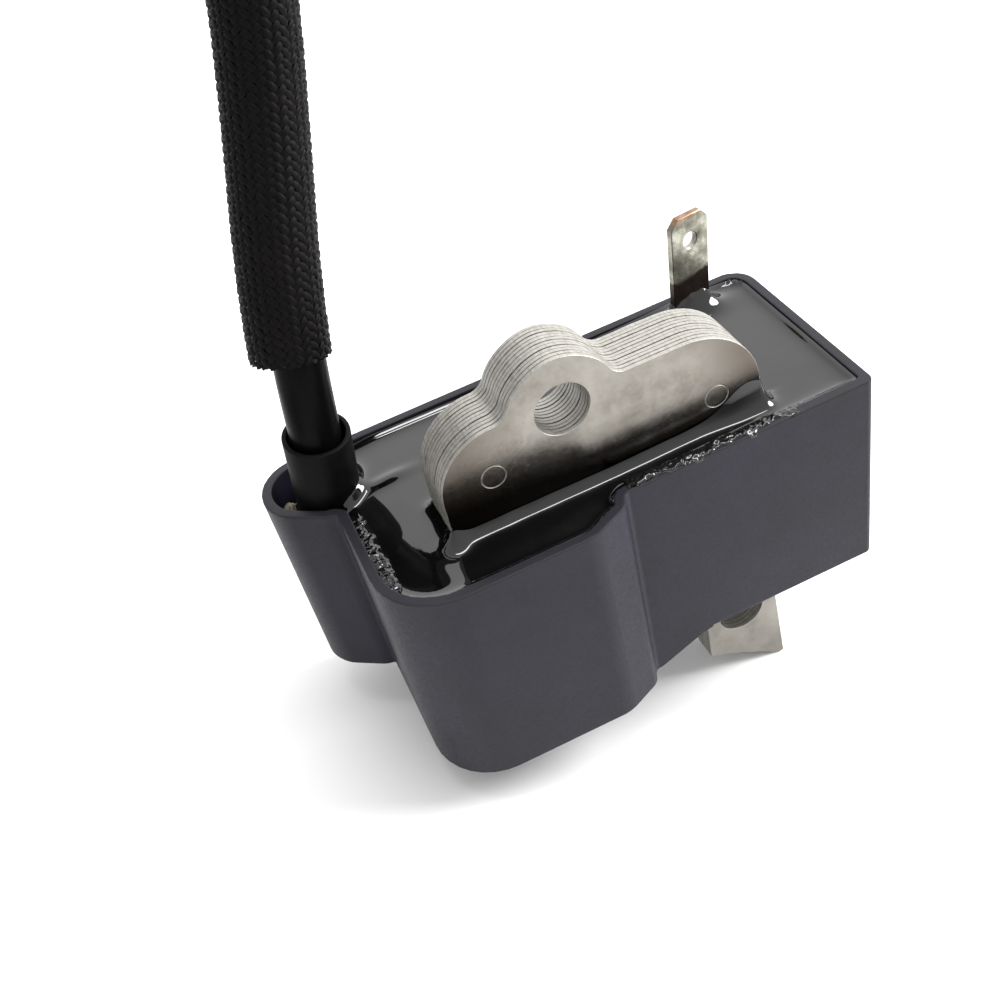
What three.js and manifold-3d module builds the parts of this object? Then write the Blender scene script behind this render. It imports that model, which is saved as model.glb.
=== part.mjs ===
// Ignition coil (transistor ignition module) of a small two-stroke engine: a potted coil on a
// laminated core, with its high-tension lead, braided sleeve and spark plug boot.
//
// Design frame: X runs along the case, Y towards its back wall and Z out of its potted face.
// The origin is on the front face of the core, in line with the upper bolt hole, level with the rim.
// The finished assembly is turned so that it stands on the outer tips of the two core legs.
import * as THREE from 'three';
import { mergeVertices } from 'three/addons/utils/BufferGeometryUtils.js';
import Module from 'manifold-3d';

const wasm = await Module();
wasm.setup();

// ---- Driving dimensions, in mm ----
const GAP = 0.3;               // air left between pieces that rest on each other
const CASE_LEFT = -21.7;
const CASE_RIGHT = 30.0;
const CASE_BACK = 20.7;
const NARROW_FRONT = -3.95;    // front wall of the electronics end
const WIDE_FRONT = -7.42;      // front wall of the winding end
const CASE_WALL = 1.1;
const CASE_FLOOR = 1.4;
const NARROW_BOTTOM = -23.8;
const WIDE_BOTTOM = -26.3;
const STEP_X = 2.9;            // where the wide end becomes the narrow end
const SLOPE = { low: 3.7, high: 9.4 };  // X range where the bottom slopes up to the narrow end
const POTTING_TOP = -0.9;

const LAMINATION_COUNT = 12;
const LAMINATION_PITCH = 0.5;
const VARNISH = 0.04;          // insulation between laminations
const CORE_LEFT = -12.9;
const CORE_RIGHT = 19.9;
const LEG_WIDTH = 8.6;
const SHOULDER_TOP = 10.2;
const SHOULDER_RADIUS = { left: 6.2, right: 7.5 };
const YOKE_BOTTOM = -1.5;
const LOBE_RADIUS = 5.57;
const LOBE_Z = 8.95;
const LOBE_FILLET = 1.7;
const BOLT_HOLE_RADIUS = 2.75;
const LOWER_HOLE = { x: 15.6, z: -28.5 };
const RIVET_RADIUS = 1.15;
const RIVET_HOLE_RADIUS = 1.25;
const RIVETS = [{ x: -7.7, z: 4.9 }, { x: 15.2, z: 2.9 }];
const FLYWHEEL = { x: -3.2, z: -69.03, radius: 38.0 };
const FLARE = { top: -27.0, width: 0.7, lift: 0.1 };  // outward spread of the right leg's tip

const TOWER = [{ x: -23.2, y: 15.9, radius: 4.55 }, { x: -21.0, y: 14.5, radius: 4.8 }];
const POCKET_FLOOR = -11.5;

const TAB_WIDTH = 4.8;
const TAB_THICKNESS = 0.8;
const TAB_X = 21.88;
const TAB_Y = 17.0;            // front face of the blade
const TAB_TOP = 11.4;
const TAB_HOLE_RADIUS = 0.9;
const TAB_LEAN = THREE.MathUtils.degToRad(4.3);
const TAB_TWIST = THREE.MathUtils.degToRad(12.0);

const COLLAR_RADIUS = 3.25;
const COLLAR_BORE = 2.8;
const LEAD_RADIUS = 2.5;
const SLEEVE_RADIUS = 3.9;
const SLEEVE_BORE = 3.0;
const SLEEVE_START = 0.090;    // fractions of the lead's length
const SLEEVE_END = 0.9;

// Route of the lead's middle line in the standing frame: out of the tower, over in an arch and
// down to the boot, which lies on the surface.
const LEAD_ROUTE = [
  [-23.6, 8.65, 22.5], [-23.95, 8.2, 26.5], [-24.3, 7.75, 30.5], [-24.7, 7.35, 35.0],
  [-25.0, 7.25, 39.1], [-25.2, 7.7, 43.4], [-25.15, 8.75, 47.5], [-24.9, 10.2, 51.7],
  [-24.45, 11.85, 55.9], [-23.3, 15.3, 64.5], [-22.45, 18.0, 73.7], [-22.5, 19.5, 81.0],
  [-24.0, 20.5, 89.2], [-28.3, 22.2, 97.4], [-34.9, 24.9, 103.4], [-43.0, 28.2, 106.6],
  [-51.7, 31.9, 106.6], [-59.8, 35.3, 103.4], [-66.2, 38.0, 97.4], [-70.3, 39.8, 89.2],
  [-72.8, 40.8, 79.0], [-74.6, 41.3, 66.0], [-75.9, 41.5, 53.0], [-76.8, 41.5, 41.0],
  [-77.3, 41.1, 30.7], [-77.5, 39.2, 21.8], [-77.5, 34.5, 14.8], [-77.5, 27.4, 10.2],
  [-77.5, 19.0, 8.4], [-77.5, 8.0, 8.2], [-77.5, -5.0, 8.2],
];
const BOOT = { x: -77.5, z: 8.2, neckY: 12.0, length: 42.0 };

// ---- Materials ----
function material(color, roughness, metalness = 0) {
  return new THREE.MeshStandardMaterial({ color, roughness, metalness });
}
const STEEL = material(0xa59c90, 0.45, 0.9);
const CASE_PLASTIC = material(0x2b2b30, 0.55);
const EPOXY = material(0x0b0c0c, 0.12);
const COPPER = material(0xb06a3c, 0.4, 0.9);
const BOBBIN_PLASTIC = material(0xd8d2c0, 0.5);
const BOARD = material(0x2f6b3f, 0.5);
const DARK_RESIN = material(0x1a1a1c, 0.4);
const TINNED = material(0x9a9a92, 0.35, 0.9);
const RUBBER = material(0x161617, 0.6);
const BRAID = material(0x201d1e, 0.8);

// ---- Outlines: lists of Vector2 ----
function arc(x, y, radius, from, to, steps) {
  const points = [];
  for (let i = 0; i <= steps; i += 1) {
    const a = from + ((to - from) * i) / steps;
    points.push(new THREE.Vector2(x + radius * Math.cos(a), y + radius * Math.sin(a)));
  }
  return points;
}

function circle(x, y, radius, steps) {
  return arc(x, y, radius, 0, 2 * Math.PI, steps).slice(0, -1);
}

function rectangle(x0, y0, x1, y1) {
  return [[x0, y0], [x1, y0], [x1, y1], [x0, y1]].map(([x, y]) => new THREE.Vector2(x, y));
}

// Moves each edge of a counter-clockwise polygon inwards, and fits each corner's radius to match.
function inset(corners, distance) {
  const count = corners.length;
  const edges = corners.map((c, i) => {
    const next = corners[(i + 1) % count];
    const along = new THREE.Vector2(next.x - c.x, next.y - c.y).normalize();
    const inward = new THREE.Vector2(-along.y, along.x);
    return { along, inward, offset: inward.x * c.x + inward.y * c.y + distance };
  });
  return corners.map((c, i) => {
    const a = edges[(i + count - 1) % count];
    const b = edges[i];
    const turn = a.inward.x * b.inward.y - a.inward.y * b.inward.x;
    return {
      x: (a.offset * b.inward.y - b.offset * a.inward.y) / turn,
      y: (a.inward.x * b.offset - b.inward.x * a.offset) / turn,
      radius: Math.max(c.radius - Math.sign(turn) * distance, 0.3),
    };
  });
}

// Rounds each corner of a counter-clockwise polygon with an arc of its own radius.
function rounded(corners, steps) {
  const count = corners.length;
  return corners.flatMap((c, i) => {
    const before = corners[(i + count - 1) % count];
    const after = corners[(i + 1) % count];
    const inDir = new THREE.Vector2(c.x - before.x, c.y - before.y).normalize();
    const outDir = new THREE.Vector2(after.x - c.x, after.y - c.y).normalize();
    const turn = Math.atan2(inDir.x * outDir.y - inDir.y * outDir.x, inDir.dot(outDir));
    const back = c.radius * Math.tan(Math.abs(turn) / 2);
    const side = Math.sign(turn);
    const centreX = c.x - inDir.x * back - inDir.y * c.radius * side;
    const centreY = c.y - inDir.y * back + inDir.x * c.radius * side;
    const from = Math.atan2(inDir.y, inDir.x) - (side * Math.PI) / 2;
    return arc(centreX, centreY, c.radius, from, from + turn, steps);
  });
}

// Outline round two circles, as a belt round two pulleys.
function belt([a, b], change, steps) {
  const angle = Math.atan2(b.y - a.y, b.x - a.x);
  const quarter = Math.PI / 2;
  return [
    ...arc(a.x, a.y, a.radius + change, angle + quarter, angle + 3 * quarter, steps),
    ...arc(b.x, b.y, b.radius + change, angle - quarter, angle + quarter, steps),
  ];
}

// ---- Solids ----
function solid(geometry) {
  geometry.deleteAttribute('normal');
  geometry.deleteAttribute('uv');
  const merged = mergeVertices(geometry, 1e-4);
  return new wasm.Manifold(new wasm.Mesh({
    numProp: 3,
    vertProperties: new Float32Array(merged.attributes.position.array),
    triVerts: new Uint32Array(merged.index.array),
  }));
}

// Plate between two heights, standing on an XY outline.
function prism(outline, low, high, holes = []) {
  const shape = new THREE.Shape(outline);
  holes.forEach((hole) => shape.holes.push(new THREE.Path(hole)));
  const geometry = new THREE.ExtrudeGeometry(shape, { depth: high - low, bevelEnabled: false });
  return solid(geometry.translate(0, 0, low));
}

// Plate between two depths, cut to an XZ outline.
function sheet(outline, front, back, holes = []) {
  const shape = new THREE.Shape(outline);
  holes.forEach((hole) => shape.holes.push(new THREE.Path(hole)));
  const geometry = new THREE.ExtrudeGeometry(shape, { depth: back - front, bevelEnabled: false });
  return solid(geometry.rotateX(Math.PI / 2).translate(0, back, 0));
}

function block(x0, y0, z0, x1, y1, z1) {
  return prism(rectangle(x0, y0, x1, y1), z0, z1);
}

function rod(radius, length, steps) {
  return new THREE.CylinderGeometry(radius, radius, length, steps);
}

function toMesh(name, piece, finish) {
  const { vertProperties, triVerts, numProp } = piece.getMesh();
  const positions = new Float32Array((vertProperties.length / numProp) * 3);
  for (let i = 0; i < positions.length / 3; i += 1) {
    for (let k = 0; k < 3; k += 1) positions[3 * i + k] = vertProperties[numProp * i + k];
  }
  const geometry = new THREE.BufferGeometry();
  geometry.setAttribute('position', new THREE.BufferAttribute(positions, 3));
  geometry.setIndex(new THREE.BufferAttribute(new Uint32Array(triVerts), 1));
  geometry.computeVertexNormals();
  const mesh = new THREE.Mesh(geometry, finish);
  mesh.name = name;
  return mesh;
}

// ---- Laminated core ----
function poleHeight(x) {
  return FLYWHEEL.z + Math.sqrt(FLYWHEEL.radius ** 2 - (x - FLYWHEEL.x) ** 2);
}

function poleFace(fromX, toX, steps) {
  const points = [];
  for (let i = 0; i <= steps; i += 1) {
    const x = fromX + ((toX - fromX) * i) / steps;
    points.push(new THREE.Vector2(x, poleHeight(x)));
  }
  return points;
}

function coreOutline() {
  const quarter = Math.PI / 2;
  const filletZ = SHOULDER_TOP + LOBE_FILLET;
  const reach = Math.sqrt((LOBE_RADIUS + LOBE_FILLET) ** 2 - (filletZ - LOBE_Z) ** 2);
  const meet = Math.atan2(filletZ - LOBE_Z, reach);
  const { left, right } = SHOULDER_RADIUS;
  return [
    ...arc(CORE_RIGHT - right, SHOULDER_TOP - right, right, 0, quarter, 6),
    ...arc(reach, filletZ, LOBE_FILLET, -quarter, meet - Math.PI, 3),
    ...arc(0, LOBE_Z, LOBE_RADIUS, meet, Math.PI - meet, 10),
    ...arc(-reach, filletZ, LOBE_FILLET, -meet, -quarter, 3),
    ...arc(CORE_LEFT + left, SHOULDER_TOP - left, left, quarter, Math.PI, 6),
    ...poleFace(CORE_LEFT, CORE_LEFT + LEG_WIDTH, 3),
    new THREE.Vector2(CORE_LEFT + LEG_WIDTH, YOKE_BOTTOM),
    new THREE.Vector2(CORE_RIGHT - LEG_WIDTH, YOKE_BOTTOM),
    ...poleFace(CORE_RIGHT - LEG_WIDTH, CORE_RIGHT, 4),
    new THREE.Vector2(CORE_RIGHT + FLARE.width, poleHeight(CORE_RIGHT) + FLARE.lift),
    new THREE.Vector2(CORE_RIGHT, FLARE.top),
  ];
}

function coreParts() {
  const holes = [
    circle(0, LOBE_Z, BOLT_HOLE_RADIUS, 12),
    circle(LOWER_HOLE.x, LOWER_HOLE.z, BOLT_HOLE_RADIUS, 12),
    ...RIVETS.map((r) => circle(r.x, r.z, RIVET_HOLE_RADIUS, 8)),
  ];
  const parts = [];
  for (let i = 0; i < LAMINATION_COUNT; i += 1) {
    const front = i * LAMINATION_PITCH;
    const piece = sheet(coreOutline(), front, front + LAMINATION_PITCH - VARNISH, holes);
    parts.push(toMesh(`lamination_${String(i + 1).padStart(2, '0')}`, piece, STEEL));
  }
  RIVETS.forEach((r, i) => {
    const back = LAMINATION_COUNT * LAMINATION_PITCH - VARNISH;
    const piece = sheet(circle(r.x, r.z, RIVET_RADIUS, 8), 0, back);
    parts.push(toMesh(['core_rivet_left', 'core_rivet_right'][i], piece, STEEL));
  });
  return parts;
}

// The four-sided channels that let the legs through the case and its filling.
function legChannels(clearance, low, high) {
  const back = LAMINATION_COUNT * LAMINATION_PITCH + clearance;
  const starts = [CORE_LEFT, CORE_RIGHT - LEG_WIDTH];
  const [left, right] = starts.map((x) => (
    block(x - clearance, -clearance, low, x + LEG_WIDTH + clearance, back, high)));
  return left.add(right);
}

// ---- Case ----
const CASE_CORNERS = [
  { x: CASE_LEFT, y: WIDE_FRONT, radius: 7.0 },
  { x: -1.8, y: WIDE_FRONT, radius: 4.0 },
  { x: 2.3, y: -5.5, radius: 1.6 },
  { x: STEP_X, y: NARROW_FRONT, radius: 0.8 },
  { x: CASE_RIGHT, y: NARROW_FRONT, radius: 0.8 },
  { x: CASE_RIGHT, y: CASE_BACK, radius: 3.0 },
  { x: CASE_LEFT, y: CASE_BACK, radius: 1.0 },
];

function wideHalf(outline, low, high) {
  return prism(outline, low, high).subtract(block(STEP_X, -20, low - 1, 60, 40, high + 1));
}

// The deeper bottom of the wide end, with its slope up to the narrow end.
function deepEnd(outline) {
  const run = (SLOPE.high - SLOPE.low) / (NARROW_BOTTOM - WIDE_BOTTOM);
  const slopeX = (z) => SLOPE.low + (z - WIDE_BOTTOM) * run;
  const low = WIDE_BOTTOM - 1;
  const high = NARROW_BOTTOM + 1;
  const side = [[-60, low], [slopeX(low), low], [slopeX(high), high], [-60, high]]
    .map(([x, z]) => new THREE.Vector2(x, z));
  return prism(outline, WIDE_BOTTOM, high).intersect(sheet(side, -20, 40));
}

function caseShell() {
  const outer = rounded(CASE_CORNERS, 6);
  const inner = rounded(inset(CASE_CORNERS, CASE_WALL), 6);
  const wideFloor = WIDE_BOTTOM + CASE_FLOOR;
  const narrowFloor = NARROW_BOTTOM + CASE_FLOOR;
  const body = prism(outer, NARROW_BOTTOM, 0)
    .add(deepEnd(outer))
    .add(prism(belt(TOWER, 0, 12), NARROW_BOTTOM, 0));
  const hollow = prism(inner, narrowFloor, 1)
    .add(wideHalf(inner, wideFloor, narrowFloor + 1).subtract(
      block(STEP_X - CASE_WALL, -20, wideFloor - 1, 60, 40, narrowFloor)))
    .add(prism(belt(TOWER, -CASE_WALL, 12), narrowFloor, 1));
  return body.subtract(hollow).subtract(legChannels(GAP, WIDE_BOTTOM - 1, narrowFloor + 1));
}

// ---- Windings on the left leg ----
const SOLID = -Infinity;         // a ring with no hole
const LEG_CENTRE = { x: CORE_LEFT + LEG_WIDTH / 2, y: (LAMINATION_COUNT * LAMINATION_PITCH) / 2 };
const LEG_HALF = { x: LEG_WIDTH / 2, y: (LAMINATION_COUNT * LAMINATION_PITCH) / 2 };

// Ring round the left leg; inner and outer are distances from the leg's sides.
function legRing(inner, outer, low, high) {
  const frame = (d) => rectangle(
    LEG_CENTRE.x - LEG_HALF.x - d,
    LEG_CENTRE.y - LEG_HALF.y - d,
    LEG_CENTRE.x + LEG_HALF.x + d,
    LEG_CENTRE.y + LEG_HALF.y + d,
  );
  const corners = frame(outer).map(({ x, y }) => ({ x, y, radius: Math.max(outer * 0.6, 0.2) }));
  const holes = inner > -LEG_HALF.y ? [frame(inner)] : [];
  return prism(rounded(corners, 2), low, high, holes);
}

function windingParts() {
  const primaryBobbin = legRing(GAP, 1.0, -23.6, -3.4)
    .add(legRing(GAP, 2.6, -23.6, -22.8))
    .add(legRing(GAP, 2.6, -4.2, -3.4));
  const flanges = [-23.6, -17.2, -10.6, -4.2];
  const secondaryBobbin = flanges.reduce(
    (bobbin, z) => bobbin.add(legRing(2.9, 5.6, z, z + 0.8)),
    legRing(2.9, 3.6, -23.6, -3.4),
  );
  const parts = [
    toMesh('primary_bobbin', primaryBobbin, BOBBIN_PLASTIC),
    toMesh('primary_winding', legRing(1.1, 2.4, -22.7, -4.3), COPPER),
    toMesh('secondary_bobbin', secondaryBobbin, BOBBIN_PLASTIC),
  ];
  for (let i = 0; i < 3; i += 1) {
    const section = legRing(3.7, 5.3, flanges[i] + 0.9, flanges[i + 1] - 0.1);
    parts.push(toMesh(`secondary_winding_${i + 1}`, section, COPPER));
  }
  return parts;
}

// ---- Switching circuit behind the right leg ----
const BOARD_FRONT = 15.0;

function circuitParts() {
  const lyingRod = (radius, length, x, y, z) => solid(
    rod(radius, length, 10).rotateZ(Math.PI / 2).translate(x, y, z));
  const wire = new THREE.CatmullRomCurve3([
    new THREE.Vector3(10.0, BOARD_FRONT - GAP, -6.0),
    new THREE.Vector3(10.0, 11.0, -5.4),
    new THREE.Vector3(9.0, 8.6, -3.6),
    new THREE.Vector3(8.0, 6.4, -0.6),
  ]);
  const wireShape = new THREE.Shape(circle(0, 0, 0.5, 8));
  const groundWire = new THREE.ExtrudeGeometry(wireShape, { steps: 6, extrudePath: wire });
  return [
    toMesh('circuit_board', block(5.2, BOARD_FRONT, -21.4, 28.0, BOARD_FRONT + 1.2, -3.6), BOARD),
    toMesh('power_transistor', block(17.0, 11.4, -19.0, 24.0, BOARD_FRONT - GAP, -10.0), DARK_RESIN),
    toMesh('capacitor', block(6.4, 10.4, -20.0, 13.4, BOARD_FRONT - GAP, -13.0), BOBBIN_PLASTIC),
    toMesh('resistor_upper', lyingRod(1.1, 6.0, 16.5, 13.4, -6.0), BOBBIN_PLASTIC),
    toMesh('resistor_lower', lyingRod(1.1, 6.0, 9.8, 13.4, -10.0), BOBBIN_PLASTIC),
    toMesh('ground_wire', solid(groundWire), COPPER),
  ];
}

// ---- Kill-switch terminal ----
function killTab() {
  const half = TAB_WIDTH / 2;
  const shoulder = -0.4;       // above the filling; below it the blade is thinner
  const outline = [
    [TAB_X - half, shoulder], [TAB_X + half, shoulder], [TAB_X + half, TAB_TOP - 1.0],
    [TAB_X + half - 0.9, TAB_TOP], [TAB_X - half + 0.9, TAB_TOP], [TAB_X - half, TAB_TOP - 1.0],
  ].map(([x, z]) => new THREE.Vector2(x, z));
  const hole = circle(TAB_X, TAB_TOP - 2.9, TAB_HOLE_RADIUS, 12);
  const foot = block(TAB_X - half, 0.25, -9.0, TAB_X + half, TAB_THICKNESS, shoulder + 0.5);
  const blade = sheet(outline, 0, TAB_THICKNESS, [hole]).add(foot);
  const mesh = toMesh('kill_tab', blade, TINNED);
  // The blade leans and twists a little, about its own foot.
  mesh.geometry.translate(-TAB_X, 0, -POTTING_TOP);
  mesh.geometry.rotateY(TAB_LEAN);
  mesh.geometry.rotateZ(TAB_TWIST);
  mesh.geometry.translate(TAB_X, TAB_Y, POTTING_TOP);
  return mesh;
}

// ---- Epoxy filling ----
function potting() {
  const clearance = 0.05;
  const inner = rounded(inset(CASE_CORNERS, CASE_WALL + clearance), 6);
  const floor = NARROW_BOTTOM + CASE_FLOOR + clearance;
  const coreBack = LAMINATION_COUNT * LAMINATION_PITCH + clearance;
  const yoke = block(CORE_LEFT - clearance, -clearance, YOKE_BOTTOM - clearance,
    CORE_RIGHT + clearance, coreBack, 5);
  const coilWell = legRing(SOLID, 5.7, floor - 1, -3.2);
  const boardWell = block(4.8, 10.0, floor - 1, 28.4, BOARD_FRONT + 3.7, -3.3)
    .add(block(7.0, coreBack - 0.1, -8.0, 11.0, 10.1, 0));
  const tabSlot = block(TAB_X - 3.1, TAB_Y - 0.7, -4, TAB_X + 3.1, TAB_Y + TAB_THICKNESS + 0.6, 1);
  const plug = prism(belt(TOWER, -CASE_WALL - clearance, 12), floor, POCKET_FLOOR);
  const pocket = prism(belt(TOWER, -CASE_WALL + 0.35, 12), POCKET_FLOOR, 1);
  const channels = legChannels(GAP, floor - 1, POTTING_TOP + 1);
  return prism(inner, floor, POTTING_TOP)
    .subtract(pocket)
    .add(plug)
    .subtract(yoke)
    .subtract(coilWell)
    .subtract(boardWell)
    .subtract(tabSlot)
    .subtract(channels);
}

// ---- High-tension lead, in the standing frame ----
const leadCurve = new THREE.CatmullRomCurve3(
  LEAD_ROUTE.map((p) => new THREE.Vector3(...p)), false, 'centripetal');

function stretch(from, to, count) {
  const points = [];
  for (let i = 0; i <= count; i += 1) points.push(leadCurve.getPointAt(from + ((to - from) * i) / count));
  return new THREE.CatmullRomCurve3(points, false, 'centripetal');
}

function tube(curve, radius, steps, sides, bore = 0) {
  const shape = new THREE.Shape(circle(0, 0, radius, sides));
  if (bore) shape.holes.push(new THREE.Path(circle(0, 0, bore, sides)));
  return solid(new THREE.ExtrudeGeometry(shape, { steps, extrudePath: curve }));
}

function leadParts() {
  const start = leadCurve.getPointAt(0);
  const collarLow = stretch(0.02, 0.056, 4);
  const along = leadCurve.getTangentAt(0);
  const stud = rod(1.0, 1.5, 10).rotateX(Math.PI / 2);
  const upright = new THREE.Quaternion().setFromUnitVectors(new THREE.Vector3(0, 0, 1), along);
  stud.applyQuaternion(upright);
  const studAt = start.clone().addScaledVector(along, -0.75 - GAP);
  return [
    toMesh('ht_contact_stud', solid(stud.translate(studAt.x, studAt.y, studAt.z)), TINNED),
    toMesh('lead_collar', tube(collarLow, COLLAR_RADIUS, 4, 16, COLLAR_BORE), RUBBER),
    toMesh('ht_lead', tube(leadCurve, LEAD_RADIUS, 44, 10), RUBBER),
    toMesh('braided_sleeve', tube(stretch(SLEEVE_START, SLEEVE_END, 40), SLEEVE_RADIUS, 38, 10,
      SLEEVE_BORE), BRAID),
  ];
}

function bootParts() {
  // Half section: distance from the axis, then distance from the neck's end.
  const profile = [
    [2.85, 0], [4.6, 0], [4.8, 7], [7.0, 12], [7.6, 30], [8.1, 37], [8.1, 42],
    [5.8, 42], [5.6, 20], [2.85, 19], [2.85, 0],
  ].map(([r, s]) => new THREE.Vector2(r, -s));
  const boot = new THREE.LatheGeometry(profile, 16);
  const turns = 3;
  const springPoints = [];
  for (let i = 0; i <= turns * 10; i += 1) {
    const a = (2 * Math.PI * i) / 10;
    springPoints.push(new THREE.Vector3(4.2 * Math.cos(a), -20.8 - (2.4 * i) / 10, 4.2 * Math.sin(a)));
  }
  const spring = tube(new THREE.CatmullRomCurve3(springPoints), 0.5, turns * 10, 6);
  const bootSolid = solid(boot);
  const bootPiece = bootSolid.volume() > 0 ? bootSolid : solid(boot.scale(-1, 1, 1));
  return [toMesh('plug_boot', bootPiece, RUBBER), toMesh('boot_spring', spring, TINNED)].map((mesh) => {
    mesh.position.set(BOOT.x, BOOT.neckY, BOOT.z);
    return mesh;
  });
}

// ---- Assembly ----
const turned = new THREE.Group();
turned.add(...coreParts());
turned.add(toMesh('case', caseShell(), CASE_PLASTIC));
turned.add(toMesh('potting_compound', potting(), EPOXY));
turned.add(...windingParts());
turned.add(...circuitParts());
turned.add(killTab());

// Both outer leg tips touch the surface, so the case leans by the difference in their heights.
const leftTip = poleHeight(CORE_LEFT);
const rightTip = poleHeight(CORE_RIGHT);
const lean = Math.atan2(leftTip - rightTip, CORE_RIGHT - CORE_LEFT);
turned.rotation.y = -lean;
turned.updateMatrixWorld(true);
const reach = new THREE.Box3().setFromObject(turned, true);
const middle = reach.getCenter(new THREE.Vector3());
turned.position.set(-middle.x, -middle.y, -reach.min.z);

const ignitionCoil = new THREE.Group();
ignitionCoil.add(turned, ...leadParts(), ...bootParts());

export default ignitionCoil;
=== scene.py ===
# %% [markdown]
# # Ignition coil of a small two-stroke engine
# A potted coil on a laminated steel core. The case is a dark moulded tub filled with black epoxy, the
# core stands up out of the filling, and the high-tension lead leaves a tower at the left end inside a
# braided sleeve. The measured solids are loaded first: they fix every size and place.

# %% Load the measured frame
import math
import random

import bmesh
import bpy
import numpy as np
from mathutils import Matrix, Vector, noise


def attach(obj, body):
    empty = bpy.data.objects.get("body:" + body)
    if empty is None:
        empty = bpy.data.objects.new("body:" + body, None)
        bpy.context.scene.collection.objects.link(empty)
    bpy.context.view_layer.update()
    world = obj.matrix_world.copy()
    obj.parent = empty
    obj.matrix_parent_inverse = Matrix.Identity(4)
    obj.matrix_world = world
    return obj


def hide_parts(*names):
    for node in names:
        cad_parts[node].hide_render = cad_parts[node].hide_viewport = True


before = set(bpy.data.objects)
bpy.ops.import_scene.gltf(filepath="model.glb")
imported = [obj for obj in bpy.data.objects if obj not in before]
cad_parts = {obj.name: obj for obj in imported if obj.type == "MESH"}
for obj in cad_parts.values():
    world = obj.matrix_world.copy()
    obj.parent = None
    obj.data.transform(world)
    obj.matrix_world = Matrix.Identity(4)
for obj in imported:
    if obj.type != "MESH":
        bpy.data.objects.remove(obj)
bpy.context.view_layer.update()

# %% [markdown]
# ## The coil's own frame
# The coil is drawn in millimetres with Z straight up out of its potted face, and then leans a little,
# because it stands on the tips of two core legs of different length. One matrix takes a finished piece
# from that drawing into the shared frame, in metres.

# %% The matrix from the drawing to the shared frame
MM = 0.001
LEAN = math.radians(11.324)
FOOT = Vector((-3.4418, -6.64, 34.1933)) * MM
STANDING = Matrix.Translation(FOOT) @ Matrix.Rotation(-LEAN, 4, "Y") @ Matrix.Scale(MM, 4)
print("upper bolt hole is at", [round(v, 4) for v in STANDING @ Vector((0, 0, 8.95))])

# %% [markdown]
# ## Camera
# A short telephoto view from above the front left, about 40 degrees down. The three axes of the camera
# are written out, so that its small roll is kept.

# %% Camera
right = Vector((0.92328, -0.38377, -0.01661))
down = Vector((-0.25709, -0.58523, -0.76903))
forward = Vector((0.28541, 0.71430, -0.63899))
turn = Matrix((right, -down, -forward)).transposed().to_4x4()
camera_data = bpy.data.cameras.new("camera")
camera_data.sensor_width = 36.0
camera_data.lens = 43.65
camera_data.shift_x = -0.0035
camera_data.shift_y = 0.0185
camera_data.clip_start = 0.01
camera = bpy.data.objects.new("camera", camera_data)
camera.matrix_world = Matrix.Translation(Vector((-43.475, -87.534, 104.722)) * MM) @ turn
bpy.context.scene.collection.objects.link(camera)
bpy.context.scene.camera = camera
print("camera at", [round(v, 3) for v in camera.location])

# %% [markdown]
# ## Route of the high-tension lead
# The lead is one fixed length of 5 mm silicone cable. It leaves the collar almost upright, goes over in
# an arch and comes down to its boot, which lies on the table. The points are the same as in the solid
# model. A centripetal Catmull-Rom curve through them gives a smooth middle line.

# %% Smooth route of the lead, in millimetres
LEAD_ROUTE = [Vector(p) for p in (
    (-23.6, 8.65, 22.5), (-23.95, 8.2, 26.5), (-24.3, 7.75, 30.5), (-24.7, 7.35, 35.0),
    (-25.0, 7.25, 39.1), (-25.2, 7.7, 43.4), (-25.15, 8.75, 47.5), (-24.9, 10.2, 51.7),
    (-24.45, 11.85, 55.9), (-23.3, 15.3, 64.5), (-22.45, 18.0, 73.7), (-22.5, 19.5, 81.0),
    (-24.0, 20.5, 89.2), (-28.3, 22.2, 97.4), (-34.9, 24.9, 103.4), (-43.0, 28.2, 106.6),
    (-51.7, 31.9, 106.6), (-59.8, 35.3, 103.4), (-66.2, 38.0, 97.4), (-70.3, 39.8, 89.2),
    (-72.8, 40.8, 79.0), (-74.6, 41.3, 66.0), (-75.9, 41.5, 53.0), (-76.8, 41.5, 41.0),
    (-77.3, 41.1, 30.7), (-77.5, 39.2, 21.8), (-77.5, 34.5, 14.8), (-77.5, 27.4, 10.2),
    (-77.5, 19.0, 8.4), (-77.5, 8.0, 8.2), (-77.5, -5.0, 8.2),
)]
STEPS_PER_SPAN = 10


def smooth_route(points):
    ends = [points[0] * 2 - points[1]] + points + [points[-1] * 2 - points[-2]]
    line = []
    for p0, p1, p2, p3 in zip(ends, ends[1:], ends[2:], ends[3:]):
        t1 = (p1 - p0).length ** 0.5
        t2 = t1 + (p2 - p1).length ** 0.5
        t3 = t2 + (p3 - p2).length ** 0.5
        for step in range(STEPS_PER_SPAN):
            t = t1 + (t2 - t1) * step / STEPS_PER_SPAN
            a1 = p0 * (1 - t / t1) + p1 * (t / t1)
            a2 = p1 + (p2 - p1) * ((t - t1) / (t2 - t1))
            a3 = p2 + (p3 - p2) * ((t - t2) / (t3 - t2))
            b1 = a1 + (a2 - a1) * (t / t2)
            b2 = a2 + (a3 - a2) * ((t - t1) / (t3 - t1))
            line.append(b1 + (b2 - b1) * ((t - t1) / (t2 - t1)))
    return line + [points[-1]]


lead_line = smooth_route(LEAD_ROUTE)
lead_marks = [0.0]
for here, there in zip(lead_line, lead_line[1:]):
    lead_marks.append(lead_marks[-1] + (there - here).length)
LEAD_LENGTH = lead_marks[-1]
print("lead:", len(lead_line), "points,", round(LEAD_LENGTH, 1), "mm long")

# %% [markdown]
# A piece that wraps round the lead also needs a side direction that doesn't spin as the cable bends.
# Carrying one direction from point to point, flattened against each new heading, gives it.

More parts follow.
